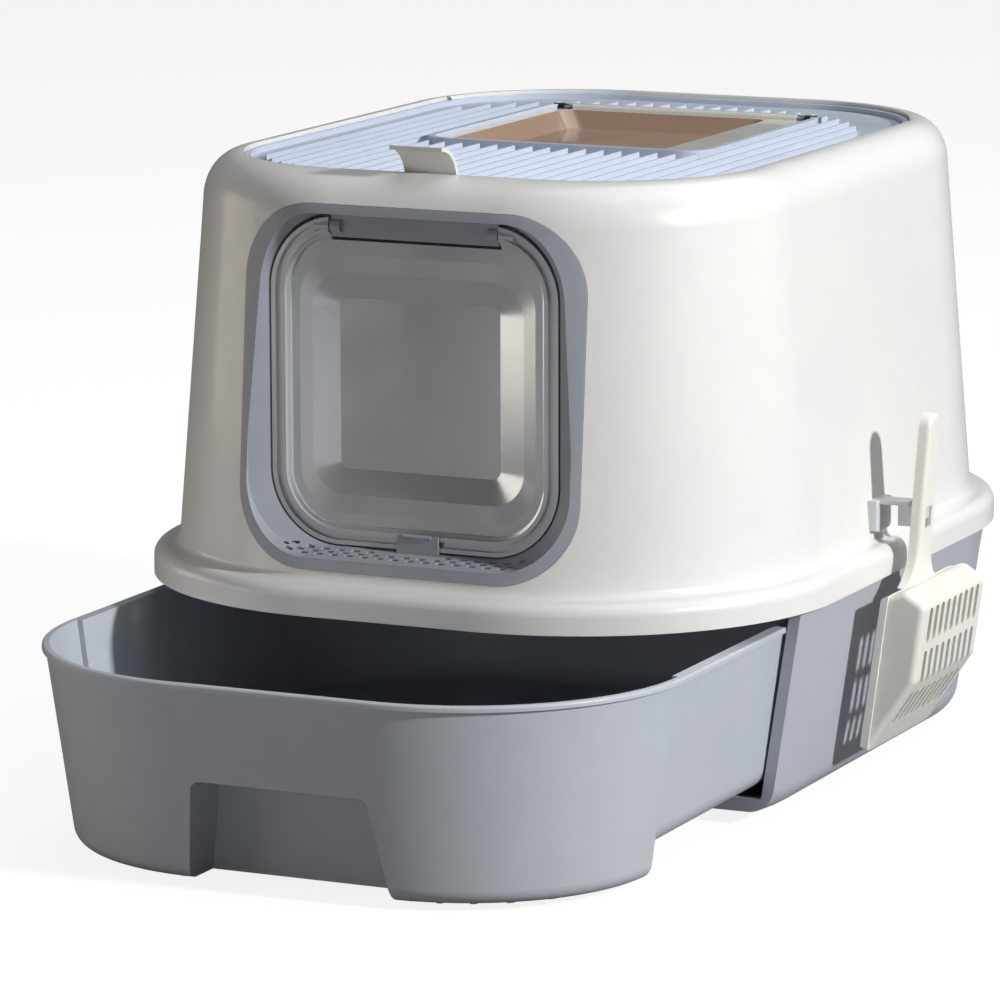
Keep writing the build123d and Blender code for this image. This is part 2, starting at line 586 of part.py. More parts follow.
def make_door_frame():
    outline = upright_block(FRAME_HALF_X, FRAME_BOTTOM_Z, FRAME_TOP_Z, FRAME_CORNER,
                            FRONT_CLEAR_Y, -RIM_HALF_Y / 2)
    proud = hood_form(-FRAME_PROUD, RIM_TOP_Z)
    band = (proud & outline) - hood_form(FRAME_SEAT, RIM_TOP_Z - 5)
    frame = band + (funnel(FRAME_WALL) & proud)
    cut = funnel(0.0)
    frame = frame - cut
    # a bar hangs from the top of the throat and carries the hinge pins at its ends
    outer = FLAP_SLOT_HALF_X - HINGE_SIDE_GAP
    bar_top = THROAT_TOP_Z + FRAME_WALL / 2
    frame = frame + box_between(
        (-outer, HINGE_Y - HINGE_BAR_HALF, HINGE_Z - HINGE_BAR_DROP),
        (outer, HINGE_Y + HINGE_BAR_HALF, bar_top))
    for side in (-1, 1):
        ends = sorted((side * outer, side * (outer - HINGE_LUG_WIDTH)))
        frame = frame + rod_x(ends[0], ends[1], HINGE_Y, HINGE_Z, HINGE_EAR_R) + box_between(
            (ends[0], HINGE_Y, HINGE_Z), (ends[1], HINGE_Y + HINGE_EAR_R, bar_top))
    for side in (-1, 1):
        frame = frame - hinge_pin(side, HINGE_PIN_R)
    frame = frame - latch_block(LATCH_FIT)
    for slot in sill_holes():
        frame = frame - slot
    return frame


def make_frame_clips():
    """Snap clips on the back of the frame: one low at each side, two under the sill."""
    clips = []
    funnel_form = funnel(FRAME_WALL)
    for side in (-1, 1):
        z = FRAME_CENTRE_Z - CLIP_DROP
        clip_y = front_wall_y(FRAME_HALF_X, z + CLIP_WIDTH / 2, HOOD_WALL) + CLIP_GAP
        ends = sorted((side * THROAT_HALF_X, side * FRAME_HALF_X))
        clip = box_between(
            (ends[0], clip_y, z - CLIP_WIDTH / 2), (ends[1], clip_y + CLIP_DEPTH, z + CLIP_WIDTH / 2))
        clips.append(clip - funnel_form)
        far_x = CLIP_FOOT_X + CLIP_WIDTH / 2
        low = FRAME_BOTTOM_Z + HOOD_OPENING_MARGIN - CLIP_HOLD
        foot_y = front_wall_y(far_x, low + 2 * CLIP_HOLD, HOOD_WALL) + CLIP_GAP
        ends = sorted((side * far_x, side * (far_x - CLIP_WIDTH)))
        clip = box_between((ends[0], foot_y, low), (ends[1], foot_y + CLIP_DEPTH, low + 3 * CLIP_HOLD))
        clips.append(clip - funnel_form)
    return clips


def flap_stack(grow, shift):
    """The stepped dish of the flap as a solid block, grown and moved back."""
    rings = (
        (FLAP_HALF_X - FLAP_RING, FLAP_HALF_Z - FLAP_RING, FLAP_CORNER - FLAP_RING, 0.0, FLAP_CENTRE_Z),
        (DISH_HALF_X, DISH_HALF_Z, DISH_CORNER, DISH_DEPTH, PANEL_CENTRE_Z),
        (STEP_HALF_X, STEP_HALF_Z, STEP_CORNER, STEP_DEPTH, PANEL_CENTRE_Z),
        (PANEL_HALF_X, PANEL_HALF_Z, PANEL_CORNER, PANEL_DEPTH, PANEL_CENTRE_Z),
    )
    faces = []
    for half_x, half_z, radius, depth, centre in rings:
        faces.append(upright(half_x + grow, centre - half_z - grow, centre + half_z + grow,
                             radius + grow, FLAP_FACE_Y + depth + shift))
    block = loft(faces[0:2], ruled=True)
    for index in (1, 2):
        block = block + loft(faces[index:index + 2], ruled=True)
    return block


def flap_ring(inset, width, y_front):
    """A ring of the flap's outline, from y_front to the back of the flange."""
    back = FLAP_FACE_Y + FLAP_WALL
    outer = upright_block(FLAP_HALF_X - inset, FLAP_BOTTOM_Z + inset, FLAP_TOP_Z - inset,
                          FLAP_CORNER - inset, y_front, back)
    inner = inset + width
    return outer - upright_block(FLAP_HALF_X - inner, FLAP_BOTTOM_Z + inner, FLAP_TOP_Z - inner,
                                 FLAP_CORNER - inner, y_front - 1.0, back + 1.0)


def make_door_flap():
    flap = flap_ring(0.0, FLAP_RING + FLAP_WALL, FLAP_FACE_Y)
    flap = flap + flap_ring(0.0, FLAP_RIDGE, FLAP_FRONT_Y)
    flap = flap + flap_ring(FLAP_RING - FLAP_RIDGE, FLAP_RIDGE, FLAP_FRONT_Y)
    flap = flap + flap_stack(FLAP_WALL, FLAP_WALL) - flap_stack(0.0, 0.0)
    slot = box_between(
        (-FLAP_SLOT_HALF_X, FLAP_FRONT_Y - 1.0, FLAP_TOP_Z - FLAP_SLOT_DEPTH),
        (FLAP_SLOT_HALF_X, FLAP_FACE_Y + 12.0, FLAP_TOP_Z + 1.0))
    flap = flap - slot
    for side in (-1, 1):
        flap = flap + rod_x(side * FLAP_SLOT_HALF_X, side * (FLAP_SLOT_HALF_X + HINGE_EAR_LENGTH),
                            HINGE_Y, HINGE_Z, HINGE_EAR_R)
    for side in (-1, 1):
        flap = flap - hinge_pin(side, HINGE_PIN_R + HINGE_CLEARANCE, 0.5)
    return flap


def make_door_latch():
    foot_z = LATCH_TOP_Z - LATCH_HEIGHT
    foot = box_between(
        (LATCH_X - LATCH_WIDTH / 2 - LATCH_FOOT, LATCH_BACK_Y - LATCH_THICK - 1.0, foot_z - LATCH_FOOT),
        (LATCH_X + LATCH_WIDTH / 2 + LATCH_FOOT, LATCH_BACK_Y + 1.0, foot_z))
    nib = rod_x(LATCH_X - LATCH_WIDTH / 3, LATCH_X + LATCH_WIDTH / 3,
                LATCH_BACK_Y - LATCH_THICK, LATCH_TOP_Z - LATCH_THICK / 2, LATCH_THICK / 2)
    return latch_block(0.0) + foot + nib


# ---------------------------------------------------------------- lid, tab and skylight
def window_limits(inset, z, radius_gain=0.0):
    """The window outline, set in by a margin, as a level face."""
    return limits_plan(WINDOW_LEFT_X + inset, WINDOW_RIGHT_X - inset, WINDOW_FRONT_Y + inset,
                       WINDOW_BACK_Y - inset, max(WINDOW_CORNER - inset + radius_gain, 2.0), z)


def rib_comb():
    """Saw-tooth ribs that rise to the right, all across the lid."""
    count = round(2 * RIB_ZONE_HALF_X / RIB_PITCH)
    length = RIB_ZONE_BACK_Y - RIB_ZONE_FRONT_Y + 10.0
    start_y = RIB_ZONE_BACK_Y + 5.0
    low = LID_PLATE_TOP_Z - 0.4
    high = LID_PLATE_TOP_Z + RIB_HEIGHT
    ribs = []
    for index in range(count):
        x = (index - count / 2) * RIB_PITCH
        side_plane = Plane(origin=(0, start_y, 0), x_dir=(1, 0, 0), z_dir=(0, -1, 0))
        tooth = Polygon((x, low), (x + RIB_FOOT, low), (x + RIB_FOOT, high), (x + RIB_FOOT - 1.2, high),
                        (x, LID_PLATE_TOP_Z), align=None)
        ribs.append(extrude(side_plane * tooth, length))
    return ribs


def make_top_lid():
    plate = lid_opening(0.0, LID_BOTTOM_Z, LID_PLATE_TOP_Z)
    lip = lid_opening(0.0, LID_PLATE_TOP_Z, LID_PLATE_TOP_Z + LID_LIP_HEIGHT)
    lip = lip - lid_opening(-LID_LIP, LID_PLATE_TOP_Z - 1, LID_PLATE_TOP_Z + LID_LIP_HEIGHT + 1)
    low = LID_PLATE_TOP_Z - 0.5
    high = LID_PLATE_TOP_Z + RIB_HEIGHT + 0.5
    front_zone = extrude(limits_plan(-RIB_ZONE_HALF_X, RIB_ZONE_HALF_X, RIB_ZONE_FRONT_Y, RIB_ZONE_BACK_Y,
                                     RIB_ZONE_FRONT_CORNER, low), high - low)
    far_y = RIB_ZONE_FRONT_Y - RIB_ZONE_BACK_CORNER
    back_zone = extrude(limits_plan(-RIB_ZONE_HALF_X, RIB_ZONE_HALF_X, far_y, RIB_ZONE_BACK_Y,
                                    RIB_ZONE_BACK_CORNER, low), high - low)
    zone = (front_zone & back_zone) - extrude(window_limits(-WINDOW_RIB_MARGIN, low - 1), high - low + 2)
    lid = plate + lip
    for rib in rib_comb():
        lid = lid + (rib & zone)
    lid = lid + extrude(window_limits(0.0, low), WINDOW_FRAME_HEIGHT + 0.5)
    lid = lid - extrude(window_limits(WINDOW_FRAME, LID_PLATE_TOP_Z), WINDOW_FRAME_HEIGHT + 1)
    lid = lid - extrude(window_limits(WINDOW_FRAME + WINDOW_LEDGE, LID_BOTTOM_Z - 1), LID_PLATE + 2)
    for start, step in ((WINDOW_LEFT_X + WINDOW_FRAME, 1), (WINDOW_RIGHT_X - WINDOW_FRAME, -1)):
        end = start + step * (ROD_END_ROOM - KNUCKLE_GAP)
        lid = lid - rod_x(start, end, ROD_Y, ROD_Z, ROD_CAP_R + ROD_CLEARANCE)
    for side in (-1, 1):
        edge = lid_half_x_at(LID_PIVOT_Y)
        lug = rod_x(side * (edge - LUG_LENGTH), side * (edge - 0.5), LID_PIVOT_Y, LID_PIVOT_Z, LUG_R)
        lid = lid + (lug & lid_opening(0.0, LEDGE_BOTTOM_Z - 5, LID_PLATE_TOP_Z))
        lid = lid - lid_pin(side, LID_PIN_R + LID_PIN_CLEARANCE)
    notch = box_between(
        (TAB_CENTRE_X - TAB_WIDTH / 2 - TAB_FIT, -LID_HALF_Y - 1, LID_BOTTOM_Z - 1),
        (TAB_CENTRE_X + TAB_WIDTH / 2 + TAB_FIT, -LID_HALF_Y + TAB_THICK + TAB_FIT, HOOD_TOP_Z))
    return lid - notch


def make_lid_tab():
    """A strip that rises from the lid's front edge and curls forward."""
    centre_y = -LID_HALF_Y - TAB_REACH + TAB_THICK
    centre_z = LID_PLATE_TOP_Z
    side_plane = Plane(origin=(TAB_CENTRE_X - TAB_WIDTH / 2, 0, 0), x_dir=(0, 1, 0), z_dir=(1, 0, 0))
    disc = Pos(centre_y, centre_z) * (Circle(TAB_REACH) - Circle(TAB_REACH - TAB_THICK))
    quarter = Pos(centre_y + TAB_REACH / 2, centre_z + TAB_REACH / 2) * Rectangle(TAB_REACH, TAB_REACH)
    stem_height = LID_PLATE_TOP_Z - LID_BOTTOM_Z
    stem = Pos(-LID_HALF_Y + TAB_THICK / 2, centre_z - stem_height / 2) * Rectangle(TAB_THICK, stem_height)
    return extrude(side_plane * ((disc & quarter) + stem), TAB_WIDTH)


def skylight_tray(grow, drop):
    """The sloped recess of the skylight as a solid block."""
    top_z = LID_PLATE_TOP_Z + SKYLIGHT_THICK
    first = WINDOW_FRAME + WINDOW_LEDGE + SKYLIGHT_GAP + SKYLIGHT_THICK
    sections = []
    for inset, z in ((first - grow, top_z), (first + SKYLIGHT_SLOPE - grow, top_z - SKYLIGHT_DEPTH - drop)):
        sections.append(limits_plan(
            WINDOW_LEFT_X + inset, WINDOW_RIGHT_X - inset - SKYLIGHT_WIDE_BORDER,
            WINDOW_FRONT_Y + inset, WINDOW_BACK_Y - inset, WINDOW_CORNER / 2, z))
    return loft(sections, ruled=True)


def make_skylight():
    inset = WINDOW_FRAME + SKYLIGHT_GAP
    sheet = extrude(window_limits(inset, LID_PLATE_TOP_Z), SKYLIGHT_THICK)
    sheet = sheet - box_between(
        (WINDOW_LEFT_X, ROD_Y, LID_PLATE_TOP_Z - 1), (WINDOW_RIGHT_X, WINDOW_BACK_Y, ROD_Z + 5))
    left = WINDOW_LEFT_X + WINDOW_FRAME + ROD_END_ROOM
    right = WINDOW_RIGHT_X - WINDOW_FRAME - ROD_END_ROOM
    for end in ((WINDOW_LEFT_X, left), (right, WINDOW_RIGHT_X)):
        sheet = sheet - box_between(
            (end[0], ROD_Y - ROD_CAP_R - KNUCKLE_GAP, LID_PLATE_TOP_Z - 1),
            (end[1], WINDOW_BACK_Y, ROD_Z + 5))
    sheet = sheet + rod_x(left, right, ROD_Y, ROD_Z, KNUCKLE_R)
    sheet = sheet + skylight_tray(SKYLIGHT_THICK, SKYLIGHT_THICK)
    sheet = sheet - skylight_tray(0.0, 0.0)
    return sheet - rod_x(left - 1, right + 1, ROD_Y, ROD_Z, ROD_R + ROD_CLEARANCE)


def make_skylight_rod():
    return rod_x(WINDOW_LEFT_X + WINDOW_FRAME, WINDOW_RIGHT_X - WINDOW_FRAME, ROD_Y, ROD_Z, ROD_R)


def make_rod_caps():
    caps = []
    for start, step in ((WINDOW_LEFT_X + WINDOW_FRAME, 1), (WINDOW_RIGHT_X - WINDOW_FRAME, -1)):
        cap = rod_x(start, start + step * ROD_CAP_LENGTH, ROD_Y, ROD_Z, ROD_CAP_R)
        caps.append(cap - rod_x(start - step, start + step * (ROD_CAP_LENGTH + 1), ROD_Y, ROD_Z, ROD_R))
    return caps


# ---------------------------------------------------------------- base
def base_form(inset, z_low):
    """The drafted tub of the base as a solid block."""
    drop = (BASE_TOP_Z - z_low) * math.tan(math.radians(BASE_DRAFT))
    radius_low = BASE_CORNER - inset - drop
    upper = plan(BASE_HALF_X - inset, BASE_HALF_Y - inset, BASE_CORNER - inset, BASE_TOP_Z)
    lower = plan(BASE_HALF_X - inset - drop, BASE_HALF_Y - inset - drop, radius_low, z_low)
    return loft([lower, upper], ruled=True)


def make_base():
    outer = base_form(0.0, BASE_BOTTOM_Z)
    outer = fillet(outer.edges().group_by(Axis.Z)[0], BASE_BOTTOM_ROUND)
    inner = base_form(BASE_WALL, BASE_FLOOR_TOP_Z)
    inner = fillet(inner.edges().group_by(Axis.Z)[0], BASE_BOTTOM_ROUND - BASE_WALL)
    post_inner = base_form(BASE_POST, BASE_FLOOR_TOP_Z + BASE_SILL)
    post_end_y = BASE_FRONT_Y + BASE_POST_DEPTH
    past_x = BASE_HALF_X + 1
    ahead = box_between((-past_x, -BASE_HALF_Y - 1, 0), (past_x, BASE_FRONT_Y, BASE_TOP_Z + 1))
    at_post = box_between((-past_x, BASE_FRONT_Y, 0), (past_x, post_end_y, BASE_TOP_Z + 1))
    post = (outer & at_post) - post_inner
    base = (outer - inner) - ahead + post
    for x, y in pad_places():
        base = base - Pos(x, y, BASE_BOTTOM_Z + PAD_RECESS / 2) * Cylinder(PAD_R + 0.2, PAD_RECESS)
    return base


def pad_places():
    return [(side * PAD_X, y) for side in (-1, 1) for y in (PAD_FRONT_Y, PAD_BACK_Y)]


def make_foot_pads():
    height = BASE_BOTTOM_Z + PAD_RECESS
    pads = []
    for x, y in pad_places():
        pad = Pos(x, y, height / 2) * Cylinder(PAD_R, height)
        pads.append(fillet(pad.edges().group_by(Axis.Z)[0], 1.0))
    return pads


def make_runners():
    height = BODY_BOTTOM_Z - RUNNER_GAP - BASE_FLOOR_TOP_Z
    start_y = BASE_FRONT_Y + BASE_POST_DEPTH + 1.0
    runners = []
    for side in (-1, 1):
        place = Pos(side * RUNNER_X, start_y + RUNNER_LENGTH / 2, BASE_FLOOR_TOP_Z + height / 2)
        runner = place * Box(RUNNER_WIDTH, RUNNER_LENGTH, height)
        runners.append(chamfer(runner.edges().group_by(Axis.Z)[-1], 1.5))
    return runners


def make_stops():
    stops = []
    for side in (-1, 1):
        stop = box_between(
            (side * STOP_X - STOP_WIDTH / 2, STOP_Y, BASE_FLOOR_TOP_Z),
            (side * STOP_X + STOP_WIDTH / 2, STOP_Y + STOP_DEPTH, STOP_TOP_Z))
        stops.append(stop)
    return stops


# ---------------------------------------------------------------- drawer
def drawer_tub(inset, z_low, round_bottom):
    """One drafted tub of the closed drawer, set in by inset, rounded at the bottom."""
    grow = -DRAWER_LIP - inset
    tub = drafted_block(DRAWER_HALF_X + grow, DRAWER_HALF_Y + grow, DRAWER_CORNER + grow,
                        DRAWER_LIP_Z, z_low, DRAWER_DRAFT, DRAWER_CENTRE_Y)
    return fillet(tub.edges().group_by(Axis.Z)[0], round_bottom)


def grip_block(grow, y_front, y_back):
    """The grip recess in the nose as a solid block, open downwards."""
    shape = Polygon(
        (GRIP_LEFT_X - grow, GRIP_TOP_Z + grow),
        (GRIP_LEFT_X - GRIP_LEFT_SPREAD - grow, -5.0),
        (GRIP_RIGHT_X + GRIP_RIGHT_SPREAD + grow, -5.0),
        (GRIP_RIGHT_X + grow, GRIP_TOP_Z + grow),
        align=None)
    rounded = fillet(shape.vertices().group_by(Axis.Y)[-1], 6.0 + grow)
    back_plane = Plane(origin=(0, y_back, 0), x_dir=(1, 0, 0), z_dir=(0, -1, 0))
    return extrude(back_plane * rounded, y_back - y_front)


def make_drawer():
    low_corner = (-DRAWER_HALF_X - 1, DRAWER_FRONT_Y - 1, 0)
    ahead_of_nose = box_between(low_corner, (DRAWER_HALF_X + 1, NOSE_BACK_Y, DRAWER_LIP_Z + 1))
    inside_nose = box_between(low_corner, (DRAWER_HALF_X + 1, NOSE_BACK_Y - DRAWER_WALL, DRAWER_LIP_Z + 1))
    outer = drawer_tub(0.0, BODY_BOTTOM_Z, BODY_BOTTOM_ROUND)
    outer = outer + (drawer_tub(0.0, NOSE_BOTTOM_Z, NOSE_BOTTOM_ROUND) & ahead_of_nose)
    liner_y = NOSE_BACK_Y + LINER_START
    ahead_of_liner = box_between(low_corner, (DRAWER_HALF_X + 1, liner_y, DRAWER_LIP_Z + 1))
    inner_round = BODY_BOTTOM_ROUND - DRAWER_WALL
    inner = drawer_tub(DRAWER_WALL + DRAWER_LINER, BODY_BOTTOM_Z + DRAWER_WALL, inner_round)
    inner = inner + (drawer_tub(DRAWER_WALL, BODY_BOTTOM_Z + DRAWER_WALL, inner_round) & ahead_of_liner)
    nose_inner = drawer_tub(DRAWER_WALL, NOSE_BOTTOM_Z + DRAWER_WALL, NOSE_BOTTOM_ROUND - DRAWER_WALL)
    inner = inner + (nose_inner & inside_nose)
    lip = plan_block(DRAWER_HALF_X, DRAWER_HALF_Y, DRAWER_CORNER, DRAWER_LIP_Z - DRAWER_LIP_HEIGHT,
                     DRAWER_LIP_Z, DRAWER_CENTRE_Y)
    lip = fillet(lip.edges().group_by(Axis.Z)[-1], DRAWER_LIP * 0.9)
    solid = outer + lip
    front_y = DRAWER_FRONT_Y - 10.0
    grip_wall = grip_block(DRAWER_WALL, front_y, GRIP_BACK_Y + DRAWER_WALL) & outer
    drawer = (solid - inner) + grip_wall - grip_block(0.0, front_y, GRIP_BACK_Y)
    # skids under the nose, clear of the grip
    floor_form = plan_block(
        DRAWER_HALF_X - SKID_INSET, DRAWER_HALF_Y - SKID_INSET, DRAWER_CORNER - SKID_INSET,
        NOSE_BOTTOM_Z - SKID_HEIGHT, NOSE_BOTTOM_Z + DRAWER_WALL / 2, DRAWER_CENTRE_Y)
    grip_clear = grip_block(DRAWER_WALL + 1.0, front_y, GRIP_BACK_Y + DRAWER_WALL + 1.0)
    for index in range(-SKID_REACH, SKID_REACH + 1):
        x = index * SKID_PITCH
        if GRIP_LEFT_X - GRIP_LEFT_SPREAD < x < GRIP_RIGHT_X + GRIP_RIGHT_SPREAD:
            continue
        skid = box_between(
            (x - SKID_WIDTH / 2, DRAWER_FRONT_Y - 1, 0), (x + SKID_WIDTH / 2, NOSE_BACK_Y - 2.0, 20.0))
        drawer = drawer + ((skid & floor_form) - grip_clear)
    # lugs that meet the stops at full opening
    lug_front = STOP_Y + STOP_DEPTH + DRAWER_TRAVEL
    for side in (-1, 1):
        drawer = drawer + box_between(
            (side * STOP_X - STOP_WIDTH / 2, lug_front, STOP_TOP_Z - STOP_CATCH),
            (side * STOP_X + STOP_WIDTH / 2, lug_front + STOP_DEPTH, BODY_BOTTOM_Z + DRAWER_WALL / 2))
    return Pos(0, -DRAWER_OUT, 0) * drawer


# ---------------------------------------------------------------- scoop and holder
def pan_block(points, y_low, y_high):
    """A block with the given (X, Z) corners round the handle's foot, from y_low to y_high."""
    back_plane = Plane(origin=(HANDLE_FOOT_X, y_high, HANDLE_FOOT_Z), x_dir=(1, 0, 0), z_dir=(0, -1, 0))
    return extrude(back_plane * Polygon(*points, align=None), y_high - y_low, dir=(0, -1, 0))


def make_scoop():
    outline = [PAN_RIM_TOP, PAN_TOP, PAN_SHOULDER, PAN_BEND, PAN_TIP, PAN_RIM_TIP]
    pan = pan_block(outline, PAN_LEFT_Y, PAN_RIGHT_Y)
    pan = fillet(pan.edges().filter_by(Axis.Y).sort_by(Axis.X)[-3:], PAN_ROUND)
    sides = []
    for edge in pan.edges():
        point = edge.position_at(0.5)
        at_side = min(abs(point.Y - PAN_LEFT_Y), abs(point.Y - PAN_RIGHT_Y)) < 0.01
        off_rim = point.X - HANDLE_FOOT_X > (PAN_RIM_TOP[0] + PAN_RIM_TIP[0]) / 2 + 1.0
        if at_side and off_rim:
            sides.append(edge)
    pan = fillet(sides, PAN_SIDE_ROUND)
    rim = [PAN_RIM_TOP, (PAN_RIM_TOP[0] + PAN_RIM_WIDTH, PAN_RIM_TOP[1] + PAN_RIM_WIDTH / 2),
           (PAN_RIM_TIP[0] + PAN_RIM_WIDTH, PAN_RIM_TIP[1] - PAN_RIM_RISE), PAN_RIM_TIP]
    pan = pan + pan_block(rim, PAN_LEFT_Y - PAN_RIM_RISE, PAN_RIGHT_Y + PAN_RIM_RISE)
    wall = PAN_WALL
    hollow = [
        (PAN_RIM_TOP[0] - 8.0, PAN_RIM_TOP[1] - 1.2 * wall - 4.0),
        (PAN_RIM_TOP[0], PAN_RIM_TOP[1] - 1.2 * wall),
        (PAN_TOP[0], PAN_TOP[1] - 1.2 * wall),
        (PAN_SHOULDER[0] - wall, PAN_SHOULDER[1] - wall / 2),
        (PAN_BEND[0] - wall, PAN_BEND[1] + wall / 2),
        (PAN_TIP[0] - wall / 2, PAN_TIP[1] + 1.2 * wall),
        (PAN_RIM_TIP[0] - 8.0, PAN_RIM_TIP[1] + wall),
    ]
    room = pan_block(hollow, PAN_LEFT_Y + wall, PAN_RIGHT_Y - wall)
    pan = pan - fillet(room.edges().filter_by(Axis.Y).sort_by(Axis.X)[-3:], PAN_ROUND - wall)
    count = int((PAN_RIGHT_Y - PAN_LEFT_Y - 2 * SLOT_PITCH) // SLOT_PITCH) + 1
    first_y = (PAN_LEFT_Y + PAN_RIGHT_Y - (count - 1) * SLOT_PITCH) / 2
    for row in range(SLOT_ROWS):
        top_z = HANDLE_FOOT_Z - SLOT_FIRST_DROP - row * SLOT_ROW_PITCH
        for index in range(count):
            y = first_y + index * SLOT_PITCH
            slot = extrude(SlotOverall(SLOT_ROW_LENGTH, SLOT_WIDTH), PAN_SHOULDER[0] - 2 * PAN_TIP[0])
            place = Pos(HANDLE_FOOT_X + PAN_TIP[0] / 2, y, top_z - SLOT_ROW_LENGTH / 2)
            pan = pan - place * Rot(0, 90, 0) * slot
    handle = make_handle()
    return pan + handle


def make_handle():
    """A channel-backed handle with a flared foot, leaning slightly outward."""
    with BuildSketch(Plane.YZ) as side:
        with BuildLine():
            foot_left = (HANDLE_Y - HANDLE_HALF_FOOT, HANDLE_FOOT_Z)
            neck_left = (HANDLE_Y - HANDLE_HALF_NECK, HANDLE_NECK_Z)
            tip_left = (HANDLE_Y - HANDLE_HALF_TIP, HANDLE_TIP_Z - HANDLE_HALF_TIP)
            tip = (HANDLE_Y, HANDLE_TIP_Z)
            tip_right = (HANDLE_Y + HANDLE_HALF_TIP, HANDLE_TIP_Z - HANDLE_HALF_TIP)
            neck_right = (HANDLE_Y + HANDLE_HALF_NECK, HANDLE_NECK_Z)
            foot_right = (HANDLE_Y + HANDLE_HALF_FOOT, HANDLE_FOOT_Z)
            TangentArc(neck_left, foot_left, tangent=(0, -1))
            Line(neck_left, tip_left)
            ThreePointArc(tip_left, tip, tip_right)
            Line(tip_right, neck_right)
            TangentArc(neck_right, foot_right, tangent=(0, -1))
            Line(foot_right, foot_left)
        make_face()
    handle = Pos(HANDLE_FOOT_X, 0, 0) * extrude(side.sketch, HANDLE_THICK)
    outer_edges = handle.edges().group_by(Axis.X)[-1]
    handle = fillet([e for e in outer_edges if e.center().Z > HANDLE_FOOT_Z + 1.0], HANDLE_ROUND)
    channel_half = HANDLE_HALF_TIP - HANDLE_WALL
    channel = box_between(
        (HANDLE_FOOT_X - 1, HANDLE_Y - channel_half, HANDLE_FOOT_Z + 12.0),
        (HANDLE_FOOT_X + HANDLE_THICK - HANDLE_WALL, HANDLE_Y + channel_half, HANDLE_TIP_Z - HANDLE_HALF_TIP))
    pivot = Pos(HANDLE_FOOT_X, HANDLE_Y, HANDLE_FOOT_Z)
    leaning = pivot * Rot(0, HANDLE_LEAN, 0) * Pos(-HANDLE_FOOT_X, -HANDLE_Y, -HANDLE_FOOT_Z)
    slot = box_between(
        (HANDLE_FOOT_X, HANDLE_Y - HANDLE_SLOT_WIDTH / 2, HANDLE_SLOT_TOP_Z - HANDLE_SLOT_HEIGHT),
        (HANDLE_FOOT_X + 3 * HANDLE_THICK, HANDLE_Y + HANDLE_SLOT_WIDTH / 2, HANDLE_SLOT_TOP_Z))
    return (leaning * (handle - channel)) - slot


def make_scoop_holder():
    """A plate on the hood wall with a shelf, a web and the peg that carries the scoop."""
    left = HANDLE_Y - HOLDER_WIDTH / 2
    right = HANDLE_Y + HOLDER_WIDTH / 2
    plate = box_between((HOOD_HALF_X - 10.0, left, HOLDER_BOTTOM_Z), (HOLDER_PLATE_X, right, HOLDER_TOP_Z))
    low_corners = plate.edges().filter_by(Axis.X).group_by(Axis.Z)[0]
    plate = fillet(low_corners, HOLDER_ROUND)
    back_x = HANDLE_FOOT_X - WEB_BACK_GAP
    shelf = box_between(
        (HOOD_HALF_X - 5.0, HANDLE_Y - SHELF_WIDTH / 2, HOLDER_TOP_Z - SHELF_THICK),
        (back_x, HANDLE_Y + SHELF_WIDTH / 2, HOLDER_TOP_Z))
    web = box_between(
        (back_x - 2 * WEB_WIDTH, HANDLE_Y - WEB_WIDTH / 2, HOLDER_TOP_Z - WEB_DROP),
        (back_x, HANDLE_Y + WEB_WIDTH / 2, HOLDER_TOP_Z))
    lean = (PEG_TOP_Z - HANDLE_FOOT_Z) * math.tan(math.radians(HANDLE_LEAN))
    peg = box_between(
        (back_x - WEB_WIDTH, HANDLE_Y - PEG_WIDTH / 2, PEG_TOP_Z - PEG_HEIGHT),
        (HANDLE_FOOT_X + HANDLE_THICK + lean - PEG_SET_BACK, HANDLE_Y + PEG_WIDTH / 2, PEG_TOP_Z))
    holder = plate + shelf + web + peg - hood_form(0.0, RIM_TOP_Z)
    for level in (-1, 1):
        holder = holder - holder_pin(level, HOLDER_PIN_R)
    return holder


# ---------------------------------------------------------------- assembly and files
def make_lid_bumpers():
    bumpers = []
    for side in (-1, 1):
        for y in (BUMPER_FRONT_Y, BUMPER_BACK_Y):
            x = side * (LID_HALF_X + LID_GAP - LEDGE_WIDTH / 2)
            bumpers.append(Pos(x, y, LEDGE_TOP_Z + BUMPER_HEIGHT / 2) * Cylinder(BUMPER_R, BUMPER_HEIGHT))
    return bumpers


parts = {
    "base": make_base(),
    "foot_pads": make_foot_pads(),
    "drawer_runners": make_runners(),
    "drawer_stops": make_stops(),
    "drawer": make_drawer(),
    "hood": make_hood(),
    "top_lid": make_top_lid(),
    "lid_hinge_pins": [lid_pin(side, LID_PIN_R) for side in (-1, 1)],
    "lid_bumpers": make_lid_bumpers(),
    "lid_tab": make_lid_tab(),
    "skylight": make_skylight(),
    "skylight_rod": make_skylight_rod(),
    "skylight_rod_caps": make_rod_caps(),
    "door_frame": make_door_frame(),
    "door_frame_clips": make_frame_clips(),
    "door_flap": make_door_flap(),
    "door_hinge_pins": [hinge_pin(side, HINGE_PIN_R) for side in (-1, 1)],
    "door_latch": make_door_latch(),
    "scoop": make_scoop(),
    "scoop_holder": make_scoop_holder(),
    "holder_pins": [holder_pin(level, HOLDER_PIN_R) for level in (-1, 1)],
}

# the origin goes to the floor under the middle of the overall box
boxes = []
for shape in parts.values():
    for solid in (shape if isinstance(shape, list) else [shape]):
        boxes.append(solid.bounding_box())
middle_x = (min(box.min.X for box in boxes) + max(box.max.X for box in boxes)) / 2
middle_y = (min(box.min.Y for box in boxes) + max(box.max.Y for box in boxes)) / 2
print("origin moved to", round(middle_x, 4), round(middle_y, 4))

